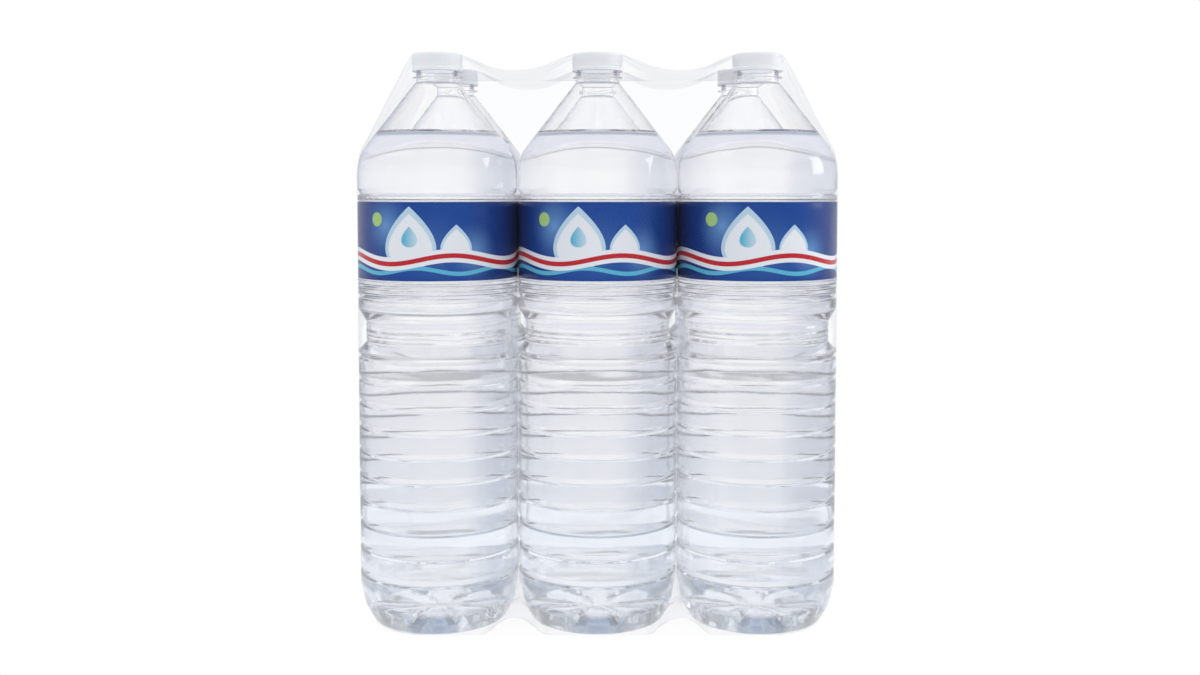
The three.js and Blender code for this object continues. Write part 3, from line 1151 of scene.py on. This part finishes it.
# The stage. The window's places are parts of a unit direction.
WINDOW_SIDE = 0.975
WINDOW_LOW = 0.03
WINDOW_HIGH = 0.48
WINDOW_STRENGTH = 3
ROOM_STRENGTH = 0.965
ROUND_STOPS = (
    (0.0, (1.0, 1.0, 1.0)),
    (0.06, (0.97, 0.97, 0.98)),
    (0.14, (0.72, 0.745, 0.80)),
    (0.29, (0.62, 0.65, 0.72)),
    (0.37, (0.79, 0.805, 0.84)),
    (0.42, (1.0, 0.99, 0.975)),
    (0.5, (0.98, 0.97, 0.955)),
    (0.60, (1.02, 1.01, 0.995)),
    (0.68, (0.93, 0.93, 0.94)),
    (0.76, (0.75, 0.765, 0.81)),
    (0.86, (0.66, 0.69, 0.75)),
    (0.94, (0.97, 0.97, 0.98)),
    (1.0, (1.0, 1.0, 1.0)),
)
OVERHEAD_STOPS = (
    (0.0, (0.84, 0.85, 0.87)),
    (0.36, (0.84, 0.85, 0.87)),
    (0.43, (0.93, 0.93, 0.94)),
    (0.49, (1.0, 1.0, 1.0)),
    (0.76, (0.98, 0.98, 0.99)),
    (0.85, (0.84, 0.85, 0.88)),
    (1.0, (1.0, 1.0, 1.0)),
)


def studio_world():
    """Plain white to the camera, and to all else a soft grey and white surround with a side window."""
    world = bpy.data.worlds.new("soft_studio")
    world.use_nodes = True
    world.cycles.sampling_method = "NONE"
    bpy.context.scene.world = world
    board = Board(world.node_tree)
    x = board.add("SeparateXYZ", {}, {0: board.add("TexCoord")})
    y, up = x.out("Y"), x.out("Z")
    flat = (x**2 + y**2).math("SQRT") + 0.001
    round_about = board.add("ValToRGB", {"stops": ROUND_STOPS}, {0: x / flat * 0.5 + 0.5})
    overhead = board.add("ValToRGB", {"stops": OVERHEAD_STOPS}, {0: up * 0.5 + 0.5})
    light = board.add(
        "Mix",
        {"data_type": "RGBA", "blend_type": "MULTIPLY"},
        {0: 1, 6: round_about, 7: overhead},
        output=2,
    )
    beside = ((x / flat - WINDOW_SIDE) / 0.01).clamped()
    window = beside * ((up - WINDOW_LOW) / 0.04).clamped() * ((WINDOW_HIGH - up) / 0.05).clamped()
    strength = window * WINDOW_STRENGTH + ROOM_STRENGTH
    around = board.add("Background", {}, {"Color": light, "Strength": strength})
    white = board.add("Background", {}, {"Color": (1, 1, 1, 1), "Strength": 1})
    seen = board.add("LightPath", output="Is Camera Ray")
    sight = board.add("MixShader", {}, {0: seen, 1: around, 2: white})
    board.add("OutputWorld", {}, {"Surface": sight})


SHADE_RADIUS = 27 * MM
SHADE_FADE = 6 * MM
BACK_SHADE = Vector((0.19, 0.12, 0.13))
BACK_LIGHT = 0.8


def floor_material():
    """A pale floor that fades into the white around it, with a soft shade under each bottle."""
    material, board = material_board("pale_floor")
    place = board.add("TexCoord").out("Object")
    speck = board.noise(place, 40, 2)
    x = board.add("SeparateXYZ", {}, {0: place})
    shade = (from_axis(board, place)[1] - SHADE_RADIUS) / SHADE_FADE
    from_back = ((x / BACK_SHADE.x) ** 2 + ((x.out("Y") - BACK_SHADE.z) / BACK_SHADE.y) ** 2).math("SQRT")
    open_light = (from_back * 1.4 - 0.4).clamped() * (1 - BACK_LIGHT) + BACK_LIGHT
    lit = board.blend(shade.clamped() * open_light, (0.46, 0.50, 0.57, 1), (1, 1, 1, 1))
    board.shade(
        {
            "Base Color": board.blend(speck, (0.14, 0.14, 0.14, 1), (0.16, 0.16, 0.16, 1)),
            "Roughness": 0.9,
            "Specular IOR Level": 0.1,
            "Emission Color": lit,
            "Emission Strength": 0.92,
        }
    )
    return material


class BOTTLEPACK_OT_stage(bpy.types.Operator):
    """Lay the floor, light the studio and place the camera"""

    bl_idname = "bottlepack.stage"
    bl_label = "Stage"

    def execute(self, context):
        s = context.scene.pack_studio
        bm = bmesh.new()
        bmesh.ops.create_circle(bm, cap_ends=True, segments=96, radius=s.floor_radius)
        ground = bpy.data.objects.new("floor", mesh_from(bm, "floor"))
        ground.data.materials.append(floor_material())
        context.scene.collection.objects.link(ground)
        studio_world()

        data = bpy.data.cameras.new("camera")
        data.sensor_width = SENSOR_WIDTH
        data.lens = s.focal_pixels * SENSOR_WIDTH / PICTURE_WIDTH
        horizon_rise = s.focal_pixels * math.tan(s.tilt)
        data.shift_y = (s.horizon_pixel + horizon_rise - PICTURE_HEIGHT / 2) / PICTURE_WIDTH
        data.clip_start = 0.01
        camera = bpy.data.objects.new("camera", data)
        aside = (PICTURE_WIDTH / 2 - s.axis_pixel) / s.focal_pixels * s.distance
        camera.location = (aside, AXES[MODEL_STAND].y - s.distance, s.eye_level)
        camera.rotation_euler = (math.pi / 2 - s.tilt, 0, 0)
        context.scene.collection.objects.link(camera)
        context.scene.camera = camera

        context.scene.view_settings.view_transform = "Standard"
        paths = context.scene.cycles
        paths.max_bounces = 20
        paths.transmission_bounces = 20
        paths.transparent_max_bounces = 40
        paths.glossy_bounces = 12
        paths.diffuse_bounces = 4
        return {"FINISHED"}


class BOTTLEPACK_PT_steps(bpy.types.Panel):
    """Lists the steps that build the pack"""

    bl_idname = "BOTTLEPACK_PT_steps"
    bl_label = "Water bottle pack"
    bl_space_type = "VIEW_3D"
    bl_region_type = "UI"
    bl_category = "Bottle Pack"

    def draw(self, context):
        for step in STEPS:
            self.layout.operator(step.bl_idname)


STEPS = (
    BOTTLEPACK_OT_stage,
    BOTTLEPACK_OT_bottles,
    BOTTLEPACK_OT_water,
    BOTTLEPACK_OT_labels,
    BOTTLEPACK_OT_caps,
    BOTTLEPACK_OT_film,
)
GROUPS = {
    "pack_bottle": BottleSettings,
    "pack_label": LabelSettings,
    "pack_cap": CapSettings,
    "pack_film": FilmSettings,
    "pack_studio": StudioSettings,
}


def register():
    for item in (*GROUPS.values(), *STEPS, BOTTLEPACK_PT_steps):
        bpy.utils.register_class(item)
    for name, group in GROUPS.items():
        setattr(bpy.types.Scene, name, bpy.props.PointerProperty(type=group))


def unregister():
    for name in GROUPS:
        delattr(bpy.types.Scene, name)
    for item in reversed((*GROUPS.values(), *STEPS, BOTTLEPACK_PT_steps)):
        bpy.utils.unregister_class(item)


def main():
    register()
    bpy.ops.bottlepack.stage()
    bpy.ops.bottlepack.bottles()
    bpy.ops.bottlepack.water()
    bpy.ops.bottlepack.labels()
    bpy.ops.bottlepack.caps()
    bpy.ops.bottlepack.film()


if __name__ == "__main__":
    main()
